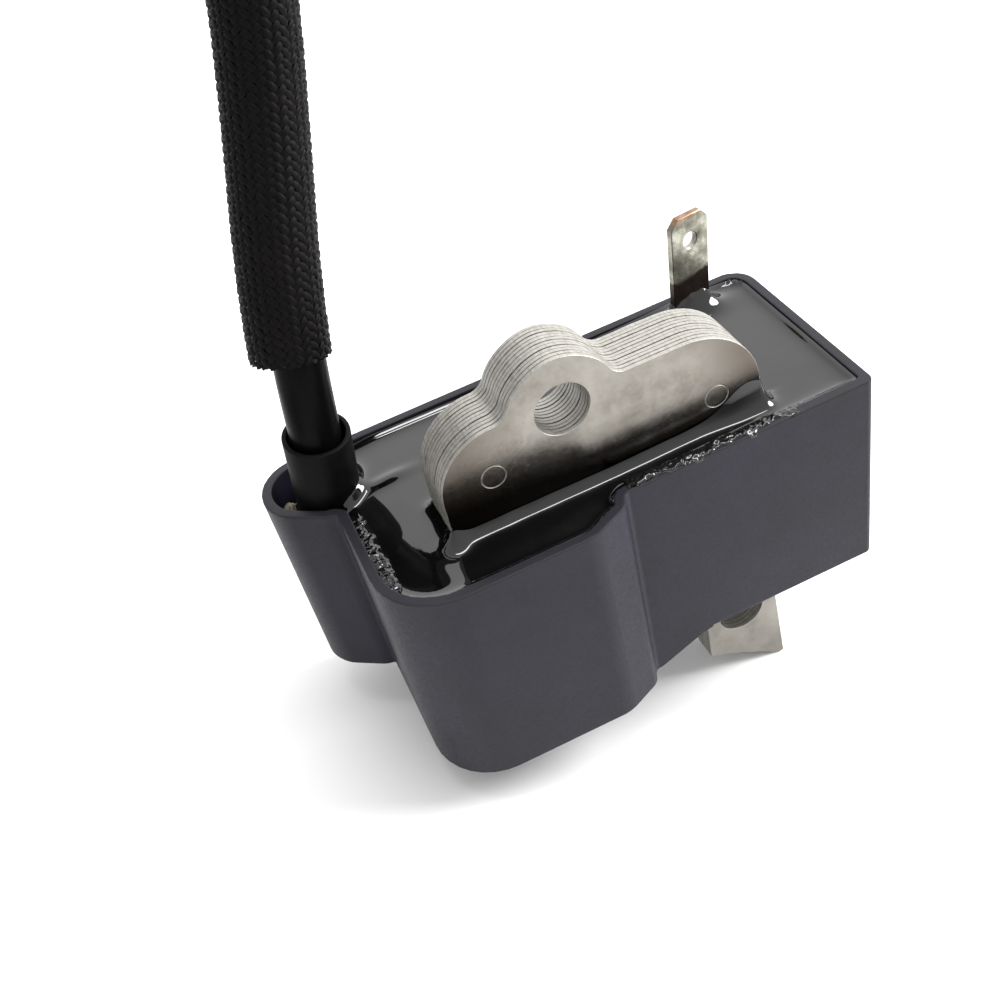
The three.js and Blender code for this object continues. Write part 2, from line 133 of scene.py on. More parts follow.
# %% Side directions along the lead
lead_heading = [(b - a).normalized() for a, b in zip([lead_line[0]] + lead_line[:-1],
                                                     lead_line[1:] + [lead_line[-1]])]
lead_side = []
side = Vector((1, 0, 0))
for along in lead_heading:
    side = (side - along * side.dot(along)).normalized()
    lead_side.append(side.copy())


def on_lead(distance, angle, radius):
    """Point round the lead: so far along it, at this angle, this far from its middle line."""
    place = np.searchsorted(lead_marks, distance) - 1
    place = min(max(int(place), 0), len(lead_line) - 2)
    share = (distance - lead_marks[place]) / (lead_marks[place + 1] - lead_marks[place])
    middle = lead_line[place].lerp(lead_line[place + 1], share)
    along = lead_heading[place].lerp(lead_heading[place + 1], share)
    across = lead_side[place].lerp(lead_side[place + 1], share)
    return middle + (across * math.cos(angle) + along.cross(across) * math.sin(angle)) * radius


print("sides carried along", len(lead_side), "points")

# %% [markdown]
# ## Colours and nodes
# Colours are sRGB hex values, turned to linear light once. One helper adds a shader node with its
# settings and its inputs.

# %% Helpers for materials
def srgb(code):
    parts = [int(code[i:i + 2], 16) / 255 for i in (1, 3, 5)]
    return [c / 12.92 if c <= 0.04045 else ((c + 0.055) / 1.055) ** 2.4 for c in parts] + [1.0]


def add(tree, kind, inputs=None, **settings):
    node = tree.nodes.new(kind)
    for name, value in settings.items():
        setattr(node, name, value)
    for socket, value in (inputs or {}).items():
        if isinstance(value, bpy.types.NodeSocket):
            tree.links.new(value, node.inputs[socket])
        else:
            node.inputs[socket].default_value = value
    return node


def new_finish(name, **shader_values):
    """An empty material with its shader; returns the material, its tree and its shader."""
    finish = bpy.data.materials.new(name)
    finish.use_nodes = True
    shader = finish.node_tree.nodes["Principled BSDF"]
    for socket, value in shader_values.items():
        shader.inputs[socket.replace("_", " ")].default_value = value
    return finish, finish.node_tree, shader


def ramp(tree, value, stops):
    """Stops along a value, each a hex colour or a plain level."""
    node = add(tree, "ShaderNodeValToRGB", {"Fac": value})
    while len(node.color_ramp.elements) < len(stops):
        node.color_ramp.elements.new(0.5)
    for element, (place, colour) in zip(node.color_ramp.elements, stops):
        element.position = place
        element.color = srgb(colour) if isinstance(colour, str) else [colour] * 3 + [1.0]
    return node.outputs["Color"]


def paint(shader, colour):
    shader.id_data.links.new(colour, shader.inputs["Base Color"])


def roughen(shader, pattern, smooth, coarse, strength=0.0, depth=0.0):
    """Lets a noise pattern drive the roughness, and the bump where a strength is given."""
    tree = shader.id_data
    rough = add(tree, "ShaderNodeMapRange", {"Value": pattern, "From Min": 0.3, "From Max": 0.7,
                                             "To Min": smooth, "To Max": coarse})
    tree.links.new(rough.outputs["Result"], shader.inputs["Roughness"])
    if strength:
        bump = add(tree, "ShaderNodeBump", {"Height": pattern, "Strength": strength,
                                            "Distance": depth * MM})
        tree.links.new(bump.outputs["Normal"], shader.inputs["Normal"])


print("a mid grey in linear light:", [round(c, 3) for c in srgb("#808080")])

# %% [markdown]
# Patterns are laid out in millimetres in the coil's own drawing, so a Mapping node undoes the lean and
# the scale of the shared frame.

# %% Millimetres in the coil's own drawing, for patterns
def drawing_mm(tree):
    spot = add(tree, "ShaderNodeTexCoord").outputs["Object"]
    back = Matrix.Rotation(LEAN, 3, "Y") @ (-FOOT / MM)
    return add(tree, "ShaderNodeMapping", {
        "Vector": spot, "Location": back, "Rotation": (0, LEAN, 0), "Scale": (1 / MM,) * 3,
    }).outputs["Vector"]


def plain_with_grain(name, dark, light, grain_mm, detail=4.0, **values):
    """A finish that wanders between two colours, in patches of about the given size."""
    finish, tree, shader = new_finish(name, **values)
    texture = add(tree, "ShaderNodeTexNoise", {"Vector": drawing_mm(tree), "Scale": 1 / grain_mm,
                                               "Detail": detail})
    colour = ramp(tree, texture.outputs["Fac"], [(0.35, dark), (0.65, light)])
    paint(shader, colour)
    return finish


print("drawing frame undone by", round(math.degrees(LEAN), 2), "degrees")

# %% [markdown]
# ## Shapes drawn as outlines
# Nearly every piece here is a flat outline given a thickness. An outline is a few corners, each with its
# own radius: the corner vertex is bevelled by the length of the arc's tangent, which rounds it.

# %% Outlines with rounded corners
ROUND_STEPS = 8


def neighbours(corners):
    """Each corner between the one before it and the one after it."""
    return zip(corners[-1:] + corners[:-1], corners, corners[1:] + corners[:1])


def corner_turns(corners):
    """The change of heading at each corner, left turns positive."""
    turns = []
    for (x0, y0, _), (x1, y1, _), (x2, y2, _) in neighbours(corners):
        into = Vector((x1 - x0, y1 - y0))
        out = Vector((x2 - x1, y2 - y1))
        turns.append(math.atan2(into.x * out.y - into.y * out.x, into.dot(out)))
    return turns


def sketch(corners, steps=ROUND_STEPS):
    shape = bmesh.new()
    points = [shape.verts.new((x, y, 0)) for x, y, _ in corners]
    shape.faces.new(points)
    for point, (_, _, radius), bend in zip(points, corners, corner_turns(corners)):
        if radius > 0:
            bmesh.ops.bevel(shape, geom=[point], offset=radius * math.tan(abs(bend) / 2),
                            offset_type="OFFSET", segments=steps, profile=0.5, affect="VERTICES",
                            material=-1)
    return shape


def inset(corners, wall):
    """The same outline moved inwards by a wall's thickness, with its radii to match."""
    inner = []
    turns = corner_turns(corners)
    for ((x0, y0, _), (x1, y1, radius), (x2, y2, _)), bend in zip(neighbours(corners), turns):
        into = Vector((x1 - x0, y1 - y0)).normalized()
        out = Vector((x2 - x1, y2 - y1)).normalized()
        shift = (Vector((-into.y, into.x)) + Vector((-out.y, out.x))) * wall / (1 + into.dot(out))
        inner.append((x1 + shift.x, y1 + shift.y, max(radius - math.copysign(wall, bend), 0.3)))
    return inner


print("a square's turns:", [round(math.degrees(t)) for t in corner_turns(
    [(0, 0, 0), (1, 0, 0), (1, 1, 0), (0, 1, 0)])])

# %% [markdown]
# A plate is an outline with holes. Scan fill makes the flat face with its holes, extruding gives the
# thickness, and a fine bevel takes the sharpness off every rim.

# %% Plates, blocks and cuts
def raise_face(shape, height):
    """Gives a flat shape a thickness, straight up."""
    grown = bmesh.ops.extrude_face_region(shape, geom=shape.faces[:])
    lifted = [part for part in grown["geom"] if isinstance(part, bmesh.types.BMVert)]
    bmesh.ops.translate(shape, verts=lifted, vec=(0, 0, height))
    bmesh.ops.recalc_face_normals(shape, faces=shape.faces)


def soften(shape, width, segments=1, chosen=lambda edge: True, sharper_than=50):
    """Bevels the sharp edges."""
    rims = [edge for edge in shape.edges if edge.is_manifold
            and edge.calc_face_angle() > math.radians(sharper_than) and chosen(edge)]
    bmesh.ops.bevel(shape, geom=rims, offset=width, offset_type="OFFSET", segments=segments,
                    profile=0.5, affect="EDGES", material=-1)
    return shape


def plate(corners, thickness, holes=(), edge=0.0, steps=ROUND_STEPS):
    shape = sketch(corners, steps)
    bmesh.ops.delete(shape, geom=shape.faces[:], context="FACES_ONLY")
    for x, y, radius in holes:
        bmesh.ops.create_circle(shape, segments=28, radius=radius, matrix=Matrix.Translation((x, y, 0)))
    bmesh.ops.triangle_fill(shape, edges=shape.edges[:], normal=(0, 0, 1), use_beauty=True)
    raise_face(shape, thickness)
    return soften(shape, edge) if edge else shape


def block(low, high):
    shape = bmesh.new()
    middle = (Vector(low) + Vector(high)) / 2
    size = Vector(high) - Vector(low)
    bmesh.ops.create_cube(shape, matrix=Matrix.Translation(middle) @ Matrix.Diagonal((*size, 1)))
    return shape


def moved(shape, matrix):
    bmesh.ops.transform(shape, matrix=matrix, verts=shape.verts)
    return shape


def upright(shape):
    """Turns a plate drawn on the ground so that its outline stands in X and Z."""
    return moved(shape, Matrix.Rotation(math.pi / 2, 4, "X"))


def carve(shape, tool, operation="DIFFERENCE"):
    """Cuts, joins or intersects two closed shapes exactly."""
    solids = []
    for each in (shape, tool):
        bmesh.ops.recalc_face_normals(each, faces=each.faces)
        mesh = bpy.data.meshes.new("carving")
        each.to_mesh(mesh)
        each.free()
        solids.append(bpy.data.objects.new("carving", mesh))
        bpy.context.scene.collection.objects.link(solids[-1])
    cutter = solids[0].modifiers.new("carve", "BOOLEAN")
    cutter.operation = operation
    cutter.solver = "EXACT"
    cutter.object = solids[1]
    result = bmesh.new()
    result.from_object(solids[0], bpy.context.evaluated_depsgraph_get())
    for solid in solids:
        bpy.data.meshes.remove(solid.data)
    return result


def hand_in(name, data, nodes):
    """Puts a piece in the scene, on the coil's root body, and hides the CAD nodes it replaces."""
    piece = bpy.data.objects.new(name, data)
    bpy.context.scene.collection.objects.link(piece)
    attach(piece, "root")
    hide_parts(*nodes)
    return piece


def keep(shape, name, nodes, finishes, matrix=STANDING, sharp=35, pick=None):
    """Makes a shape a finished piece: in its place, riding on the coil, in place of CAD nodes."""
    bmesh.ops.recalc_face_normals(shape, faces=shape.faces)
    if pick:
        for face in shape.faces:
            face.material_index = pick(face)
    mesh = bpy.data.meshes.new(name)
    shape.to_mesh(mesh)
    shape.free()
    mesh.transform(matrix)
    for finish in finishes:
        mesh.materials.append(finish)
    mesh.polygons.foreach_set("use_smooth", [True] * len(mesh.polygons))
    mesh.set_sharp_from_angle(angle=math.radians(sharp))
    print(name, len(mesh.polygons), "faces")
    return hand_in(name, mesh, nodes)


IN_ROW = Matrix.Scale(MM, 4)

# %% [markdown]
# ## Glass-filled nylon of the case
# Dark blue-grey nylon, moulded with a fine matt grain. It is black plastic that looks grey because its
# grain scatters the bright surroundings. Faint clouds of colour run along the walls, fine dust clings to
# the grain, and the rim, where the part was trimmed, is a more neutral grey.

# %% Finish: moulded nylon
nylon, tree, shader = new_finish("glass_filled_nylon_moulded", IOR=1.5, Specular_IOR_Level=0.24)
spot = drawing_mm(tree)
cloud = add(tree, "ShaderNodeTexNoise", {"Vector": spot, "Scale": 0.09, "Detail": 4.0, "Roughness": 0.6})
grain = add(tree, "ShaderNodeTexNoise", {"Vector": spot, "Scale": 2.6, "Detail": 5.0, "Roughness": 0.75})
height = add(tree, "ShaderNodeSeparateXYZ", {"Vector": spot}).outputs["Z"]
near_rim = add(tree, "ShaderNodeMapRange", {"Value": height, "From Min": -0.8, "From Max": -0.1})
ragged = add(tree, "ShaderNodeMath", {0: near_rim.outputs["Result"], 1: grain.outputs["Fac"]},
             operation="MULTIPLY")
body = ramp(tree, cloud.outputs["Fac"], [(0.35, "#15131d"), (0.65, "#1c1a27")])
trimmed = add(tree, "ShaderNodeMix", {"Factor": ragged.outputs["Value"], 6: body,
                                      7: srgb("#1d1d1f")}, data_type="RGBA")
dust = ramp(tree, grain.outputs["Fac"], [(0.70, 0.0), (0.78, 1.0)])
speck = add(tree, "ShaderNodeMath", {0: dust, 1: 0.25}, operation="MULTIPLY")
coloured = add(tree, "ShaderNodeMix", {"Factor": speck.outputs["Value"],
                                       6: trimmed.outputs[2], 7: srgb("#8b8a8c")},
               data_type="RGBA")
paint(shader, coloured.outputs[2])
roughen(shader, grain.outputs["Fac"], 0.40, 0.56, 0.25, 0.06)
print(nylon.name)

# %% [markdown]
# ## Black potting epoxy
# Poured as a liquid and set glossy, so it is almost a mirror for whatever stands over it. The surface is
# never quite flat: slow waves come from shrinkage, and they bend the reflections.

# %% Finish: black epoxy
epoxy, tree, shader = new_finish("potting_epoxy_poured", IOR=1.56, Roughness=0.04,
                                 Base_Color=srgb("#070708"))
swell = add(tree, "ShaderNodeTexNoise", {"Vector": drawing_mm(tree), "Scale": 0.25, "Detail": 1.0})
bump = add(tree, "ShaderNodeBump", {"Height": swell.outputs["Fac"], "Strength": 0.15, "Distance": 0.0003})
tree.links.new(bump.outputs["Normal"], shader.inputs["Normal"])
print(epoxy.name)

# %% [markdown]
# ## Electrical steel
# The laminations are punched from 0.5 mm silicon steel sheet. Their flat faces are rolled bright, a
# little tarnished, and mirror softly. Their punched edges are a paler, rougher grey with fine tear marks
# across the thickness. So there are two finishes, picked by which way a face looks. The ends of the
# yoke are browned by handling, and the lower part of the faces is painted dark: a painted reflection of
# the black filling below.

# %% Finish: rolled face of the steel
steel_face, tree, shader = new_finish("silicon_steel_rolled", Metallic=1.0)
YOKE_MIDDLE = 4.0
spot = drawing_mm(tree)
stain = add(tree, "ShaderNodeTexNoise", {"Vector": spot, "Scale": 0.22, "Detail": 5.0, "Roughness": 0.65})
fleck = add(tree, "ShaderNodeTexNoise", {"Vector": spot, "Scale": 1.9, "Detail": 4.0, "Roughness": 0.7})
colour = ramp(tree, stain.outputs["Fac"], [(0.3, "#706c66"), (0.5, "#86827b"), (0.72, "#95928c")])
place = add(tree, "ShaderNodeSeparateXYZ", {"Vector": spot}).outputs
sideways = add(tree, "ShaderNodeMath", {0: place["X"], 1: YOKE_MIDDLE}, operation="SUBTRACT")
reach = add(tree, "ShaderNodeMath", {0: sideways.outputs["Value"]}, operation="ABSOLUTE")
handled = add(tree, "ShaderNodeMapRange", {"Value": reach.outputs["Value"], "From Min": 8.0,
                                           "From Max": 14.5, "To Max": 1.2})
yoke = add(tree, "ShaderNodeMapRange", {"Value": place["Z"], "From Min": -10.0, "From Max": -5.0})
patchy = add(tree, "ShaderNodeMath", {0: handled.outputs["Result"], 1: stain.outputs["Fac"]},
             operation="MULTIPLY")
browned = add(tree, "ShaderNodeMath", {0: patchy.outputs["Value"], 1: yoke.outputs["Result"]},
              operation="MULTIPLY")
tarnish = add(tree, "ShaderNodeMix", {"Factor": browned.outputs["Value"], 6: colour,
                                      7: srgb("#3a2b22")}, data_type="RGBA")
uneven = add(tree, "ShaderNodeMath", {0: stain.outputs["Fac"], 1: 3.0, 2: place["Z"]},
             operation="MULTIPLY_ADD")
leaning = add(tree, "ShaderNodeMath", {0: place["X"], 1: 0.10, 2: uneven.outputs["Value"]},
              operation="MULTIPLY_ADD")
level = add(tree, "ShaderNodeMapRange", {"Value": leaning.outputs["Value"], "From Min": -20.0,
                                         "From Max": 10.0})
# Painted reflection: the lower part of the faces is painted dark, as if mirroring the black filling; the
# line wanders with the stain and leans with X.
painted_reflection = ramp(tree, level.outputs["Result"], [(0.10, 0.0), (0.30, 0.86), (0.76, 0.86), (0.84, 0.4),
                                              (0.96, 0.0)])
with_painted_reflection = add(tree, "ShaderNodeMix", {"Factor": painted_reflection, 6: tarnish.outputs[2],
                                     7: srgb("#1c1512")}, data_type="RGBA")
paint(shader, with_painted_reflection.outputs[2])
roughen(shader, fleck.outputs["Fac"], 0.17, 0.28, 0.2, 0.04)
print(steel_face.name)

# %% Finish: punched edge of the steel
steel_edge, tree, shader = new_finish("silicon_steel_punched_edge", Metallic=1.0)
tears = add(tree, "ShaderNodeMapping", {"Vector": drawing_mm(tree), "Scale": (5.0, 0.8, 5.0)})
tear = add(tree, "ShaderNodeTexNoise", {"Vector": tears.outputs["Vector"], "Scale": 1.0,
                                        "Detail": 4.0, "Roughness": 0.7})
colour = ramp(tree, tear.outputs["Fac"], [(0.3, "#8b8a85"), (0.6, "#adaba5")])
paint(shader, colour)
roughen(shader, tear.outputs["Fac"], 0.42, 0.62, 0.3, 0.05)
print(steel_edge.name)

# %% Finish: varnish in the joints
varnish = plain_with_grain("core_varnish_brown", "#4d4640", "#857d73", 1 / 1.4, detail=3.0,
                           IOR=1.5, Roughness=0.5)
print(varnish.name)

# %% [markdown]
# ## Tinned strip
# The stop-switch tab is tin-plated brass. The plating has dulled to a mottled olive grey, and the sheared
# tip shows the brass. Its foot is darker, up to a ragged line.

# %% Finish: dulled tin plate
tin, tree, shader = new_finish("tin_plate_dulled", Metallic=0.8)
spot = drawing_mm(tree)
mottle = add(tree, "ShaderNodeTexNoise", {"Vector": spot, "Scale": 0.55, "Detail": 5.0, "Roughness": 0.62})
bloom = add(tree, "ShaderNodeTexNoise", {"Vector": spot, "Scale": 2.4, "Detail": 3.0})
plated = ramp(tree, mottle.outputs["Fac"], [(0.30, "#4d4b42"), (0.48, "#807e71"), (0.66, "#b4b4a7")])
height = add(tree, "ShaderNodeSeparateXYZ", {"Vector": spot}).outputs["Z"]
tip = add(tree, "ShaderNodeMapRange", {"Value": height, "From Min": 10.7, "From Max": 11.5})
worn = add(tree, "ShaderNodeMath", {0: tip.outputs["Result"], 1: bloom.outputs["Fac"]},
           operation="MULTIPLY")
brassy = add(tree, "ShaderNodeMix", {"Factor": worn.outputs["Value"], 6: plated,
                                     7: srgb("#8e4c16")}, data_type="RGBA")
# The foot is painted darker, up to a ragged line about 3.5 mm up the blade.
ragged = add(tree, "ShaderNodeMath", {0: mottle.outputs["Fac"], 1: -1.5, 2: height},
             operation="MULTIPLY_ADD")
foot = add(tree, "ShaderNodeMapRange", {"Value": ragged.outputs["Value"], "From Min": 3.9,
                                        "From Max": 3.4, "To Max": 0.93})
darkened = add(tree, "ShaderNodeMix", {"Factor": foot.outputs["Result"], 6: brassy.outputs[2],
                                       7: srgb("#22100c")}, data_type="RGBA")
paint(shader, darkened.outputs[2])
roughen(shader, mottle.outputs["Fac"], 0.42, 0.22)
bump = add(tree, "ShaderNodeBump", {"Height": bloom.outputs["Fac"], "Strength": 0.3, "Distance": 0.00005})
tree.links.new(bump.outputs["Normal"], shader.inputs["Normal"])
print(tin.name)

# %% [markdown]
# ## Rubbers
# The lead is extruded silicone, smooth with a soft sheen. The collar and the plug boot are moulded
# rubber, more matt, with a fine grain and a grey bloom.

# %% Finishes: extruded silicone and moulded rubber
silicone, tree, shader = new_finish("silicone_extruded", IOR=1.43, Specular_IOR_Level=0.06)
shader.inputs["Base Color"].default_value = srgb("#060607")
skin = add(tree, "ShaderNodeTexNoise", {"Vector": drawing_mm(tree), "Scale": 1.1, "Detail": 4.0})
roughen(shader, skin.outputs["Fac"], 0.30, 0.42)

rubber, tree, shader = new_finish("rubber_moulded", IOR=1.5, Specular_IOR_Level=0.06)
bloom = add(tree, "ShaderNodeTexNoise", {"Vector": drawing_mm(tree), "Scale": 0.5, "Detail": 6.0,
                                         "Roughness": 0.7})
colour = ramp(tree, bloom.outputs["Fac"], [(0.35, "#070708"), (0.7, "#0f0f10")])
paint(shader, colour)
roughen(shader, bloom.outputs["Fac"], 0.42, 0.6, 0.2, 0.06)
print(silicone.name, rubber.name)

# %% [markdown]
# ## Glass-fibre braid
# The sleeve is braided from black varnished glass yarn. Each strand is a flat bundle of fine filaments,
# so it shines along its length. The filaments are drawn across the strand's own width.

# %% Finish: varnished glass yarn
yarn, tree, shader = new_finish("glass_yarn_varnished", IOR=1.5, Specular_IOR_Level=0.08)
strand_place = add(tree, "ShaderNodeUVMap", uv_map="strand").outputs["UV"]
filaments = add(tree, "ShaderNodeMapping", {"Vector": strand_place, "Scale": (0.6, 9.0, 1.0)})
filament = add(tree, "ShaderNodeTexNoise", {"Vector": filaments.outputs["Vector"], "Scale": 1.0,
                                            "Detail": 3.0})
dye = add(tree, "ShaderNodeTexNoise", {"Vector": drawing_mm(tree), "Scale": 0.16, "Detail": 3.0})
colour = ramp(tree, dye.outputs["Fac"], [(0.35, "#050405"), (0.55, "#080607"), (0.75, "#150a0a")])
paint(shader, colour)
roughen(shader, filament.outputs["Fac"], 0.34, 0.6, 0.5, 0.05)
print(yarn.name)

# %% [markdown]
# ## The lead and what is on it
# The cable itself is a curve with a round bevel. It starts deep in the tower, on its contact stud, and
# ends inside the boot.

# %% High-tension lead
def cable(name, line, radius, finish, nodes):
    curve = bpy.data.curves.new(name, "CURVE")
    curve.dimensions = "3D"
    spline = curve.splines.new("POLY")
    spline.points.add(len(line) - 1)
    for point, place in zip(spline.points, line):
        point.co = (*(place * MM), 1.0)
    spline.use_smooth = True
    curve.bevel_depth = radius * MM
    curve.bevel_resolution = 8
    curve.use_fill_caps = True
    curve.materials.append(finish)
    print(name, round(radius * 2, 2), "mm thick")
    return hand_in(name, curve, nodes)


lead = cable("lead_cable", lead_line, 2.52, silicone, ["ht_lead"])

# %% [markdown]
# The collar is a straight rubber tube that stands in the tower and leans a little with the lead. It is
# spun from its section, with the corners rounded first.

# %% Spun pieces and the collar
def spun(section, steps=64, rounding=0.12):
    """A closed section of (radius, height) corners spun round Z."""
    shape = bmesh.new()
    corners = [shape.verts.new((radius, 0, height)) for radius, height in section]
    for first, second in zip(corners, corners[1:] + corners[:1]):
        shape.edges.new((first, second))
    bmesh.ops.bevel(shape, geom=corners, offset=rounding, offset_type="OFFSET", segments=3,
                    profile=0.5, affect="VERTICES", material=-1)
    bmesh.ops.spin(shape, geom=shape.verts[:] + shape.edges[:], cent=(0, 0, 0), axis=(0, 0, 1),
                   angle=2 * math.pi, steps=steps, use_merge=True)
    bmesh.ops.remove_doubles(shape, verts=shape.verts, dist=0.0005)
    return shape


def aimed(foot, head):
    """A matrix that stands Z along the line from foot to head."""
    foot, head = Vector(foot), Vector(head)
    return Matrix.Translation(foot) @ (head - foot).to_track_quat("Z", "Y").to_matrix().to_4x4()


collar_foot, collar_rim = (-23.95, 8.5, 26.0), (-24.8, 7.15, 37.0)
keep(moved(spun([(2.85, 0), (3.35, 0), (3.35, 11.1), (2.85, 11.1)]),
           aimed(collar_foot, collar_rim)),
     "lead_collar_tube", ["lead_collar"], [rubber], IN_ROW)

# %% [markdown]
# ## Braided sleeve
# The braid has 28 strands each way, in a two over, two under pattern, which shows as columns of
# chevrons along the sleeve. One strand is made as a thin four-sided bar, then copied. Each copy is laid
# out along a helix, pushed out and in where it crosses the other strands, and wrapped round the lead.

# %% One flat strand
CARRIERS = 28
BRAID_RADIUS = 3.60
SLEEVE_FROM = 0.0905 * LEAD_LENGTH
SLEEVE_TO = 0.90 * LEAD_LENGTH
LAY = 23.8
STRAND_WIDTH = 0.62
STRAND_THICKNESS = 0.27
round_the_sleeve = 2 * math.pi * BRAID_RADIUS
slope = math.atan2(round_the_sleeve, LAY)
column = round_the_sleeve / CARRIERS
strand_length = (SLEEVE_TO - SLEEVE_FROM) / math.cos(slope)
crossings = int(strand_length / (column / 2 / math.sin(slope)))

strand = bmesh.new()
bmesh.ops.create_cone(strand, cap_ends=True, segments=4, radius1=1, radius2=1, depth=strand_length)
long_edges = [edge for edge in strand.edges
              if abs(edge.verts[0].co.z - edge.verts[1].co.z) > 1]
bmesh.ops.subdivide_edges(strand, edges=long_edges, cuts=crossings - 1)
bmesh.ops.translate(strand, verts=strand.verts, vec=(0, 0, strand_length / 2))
strand_mesh = bpy.data.meshes.new("strand")
strand.to_mesh(strand_mesh)
strand.free()
print("strand:", round(strand_length), "mm,", crossings, "crossings, at",
      round(math.degrees(slope), 1), "degrees")

# %% [markdown]
# The sleeve is loose on the lead. At its lower end it hangs to one side, and further up it lies evenly
# round the cable.

# %% Braid the sleeve
HANGS_ASIDE = Vector((-0.65, 0.27, 0.0))


def sleeve_shift(distance):
    return HANGS_ASIDE * math.exp(-(distance - SLEEVE_FROM) / 45.0)


def wave(around):
    """Out over two strands and in under two, at this place round the sleeve."""
    crest = 1.6 * math.cos(math.pi * (around / column - 0.25))
    return min(max(crest, -1.0), 1.0)


def braid(name, hand, nodes):
    family = bmesh.new()
    strand_uv = family.loops.layers.uv.new("strand")
    chance = random.Random(7 + hand)
    for carrier in range(CARRIERS):
        first = len(family.verts)
        first_face = len(family.faces)
        family.from_mesh(strand_mesh)
        family.verts.ensure_lookup_table()
        family.faces.ensure_lookup_table()
        slack = chance.uniform(-0.03, 0.03)
        for face in family.faces[first_face:]:
            for loop in face.loops:
                loop[strand_uv].uv = (loop.vert.co.z + carrier * 7.3, loop.vert.co.x)
        for vert in family.verts[first:]:
            across = vert.co.x * STRAND_WIDTH / 2
            out = vert.co.y * STRAND_THICKNESS / 2
            run = vert.co.z
            middle = hand * (carrier * column + run * math.sin(slope))
            around = middle + across * math.cos(slope)
            distance = SLEEVE_FROM + run * math.cos(slope) - hand * across * math.sin(slope)
            distance = min(max(distance, SLEEVE_FROM), SLEEVE_TO)
            lift = hand * wave(middle) * STRAND_THICKNESS / 2 + slack
            vert.co = on_lead(distance, around / BRAID_RADIUS, BRAID_RADIUS + out + lift)
            vert.co += sleeve_shift(distance)
    return keep(family, name, nodes, [yarn], IN_ROW, sharp=80)


braid_right = braid("sleeve_strands_right", 1, ["braided_sleeve"])
braid_left = braid("sleeve_strands_left", -1, [])

# %% [markdown]
# Under the strands lies the sleeve's coated inner wall, a plain thin tube, so that no light comes
# through between them.

# %% Inner wall of the sleeve
SIDES = 32
INNER_RADIUS = 3.34
inner_wall = bmesh.new()
rings = []
for mark in np.linspace(SLEEVE_FROM + 0.4, SLEEVE_TO - 0.4, 150):
    places = [on_lead(mark, 2 * math.pi * k / SIDES, INNER_RADIUS) for k in range(SIDES)]
    ring = [inner_wall.verts.new(place + sleeve_shift(mark)) for place in places]
    rings.append([inner_wall.edges.new(pair) for pair in zip(ring, ring[1:] + ring[:1])])
for ring, following in zip(rings, rings[1:]):
    bmesh.ops.bridge_loops(inner_wall, edges=ring + following)
bmesh.ops.recalc_face_normals(inner_wall, faces=inner_wall.faces)
bmesh.ops.solidify(inner_wall, geom=inner_wall.faces[:], thickness=0.1)
sleeve_wall = keep(inner_wall, "sleeve_inner_wall", [], [rubber], IN_ROW)

# %% [markdown]
# ## Plug boot and its spring
# The boot is a moulded rubber cap with a narrow neck for the lead, two grip rings and a thicker lip. It
# lies on the table with the end of the lead in its neck. Inside, a coiled wire takes the current to the
# plug.

# %% Boot and spring
boot_section = [(2.6, 0), (4.5, 0), (4.8, 7), (7.0, 12), (7.2, 17), (7.7, 17.6), (7.7, 19.4),
                (7.25, 20), (7.35, 23), (7.8, 23.6), (7.8, 25.4), (7.4, 26), (7.6, 36), (8.1, 37.5),
                (8.1, 42), (5.8, 42), (5.6, 20), (2.6, 19)]
boot_place = Matrix.Translation((-77.5, 12.0, 8.2)) @ Matrix.Rotation(math.pi / 2, 4, "X")
boot = keep(moved(spun(boot_section, rounding=0.25), boot_place), "plug_boot_cap", ["plug_boot"],
            [rubber], IN_ROW)

SPRING_TURNS, SPRING_RADIUS, SPRING_RISE = 3, 4.2, 2.4
STEPS_PER_TURN = 24
coil_line = []
for step in range(SPRING_TURNS * STEPS_PER_TURN + 1):
    turned = step / STEPS_PER_TURN
    angle = 2 * math.pi * turned
    coil_line.append(boot_place @ Vector((SPRING_RADIUS * math.cos(angle), SPRING_RADIUS * math.sin(angle),
                                          20.8 + SPRING_RISE * turned)))
spring = cable("boot_contact_spring", coil_line, 0.5, tin, ["boot_spring"])

# %% [markdown]
# The lead's real length, in metres.

print("cord declared:", round(LEAD_LENGTH * MM, 3), "m")

# %% [markdown]
# ## Laminated core
# Twelve punched sheets, each 0.5 mm with its varnish. The outline has a round lobe for the upper bolt and
# two legs that run down through the case. Their ends follow the flywheel's circle.

# %% Outline of a lamination
FLYWHEEL_X, FLYWHEEL_Z, FLYWHEEL_RADIUS = -3.2, -69.03, 38.0


def pole(x):
    return FLYWHEEL_Z + math.sqrt(FLYWHEEL_RADIUS ** 2 - (x - FLYWHEEL_X) ** 2)


SHOULDER = 10.2
LOBE_TOP = 14.52
CORE_LEFT, CORE_RIGHT = -12.9, 19.9
LEFT_LEG, RIGHT_LEG, LEG_WIDTH = CORE_LEFT, 11.3, 8.6
YOKE_BOTTOM = -1.5
left_pole = [(x, pole(x), 0) for x in (CORE_LEFT, -10.0, -7.1, -4.3)]
right_pole = [(x, pole(x), 0) for x in (RIGHT_LEG, 13.4, 15.5, 17.7, CORE_RIGHT)]
FLARED_TIP = [(20.6, pole(CORE_RIGHT) + 0.1, 0), (CORE_RIGHT, -27.0, 0)]
LAMINATION = [
    (CORE_RIGHT, SHOULDER, 7.5), (5.54, SHOULDER, 1.7), (3.624, LOBE_TOP, 5.57),
    (-3.624, LOBE_TOP, 5.57), (-5.54, SHOULDER, 1.7), (CORE_LEFT, SHOULDER, 6.2),
    *left_pole, (-4.3, YOKE_BOTTOM, 0.6), (RIGHT_LEG, YOKE_BOTTOM, 0.6), *right_pole, *FLARED_TIP,
]
BOLT_HOLES = [(0, 8.95, 2.75), (15.6, -28.5, 2.75)]
RIVETS = {"core_rivet_left": (-7.7, 4.9), "core_rivet_right": (15.2, 2.9)}
print("leg tips at", round(pole(CORE_LEFT), 2), "and", round(pole(CORE_RIGHT), 2))

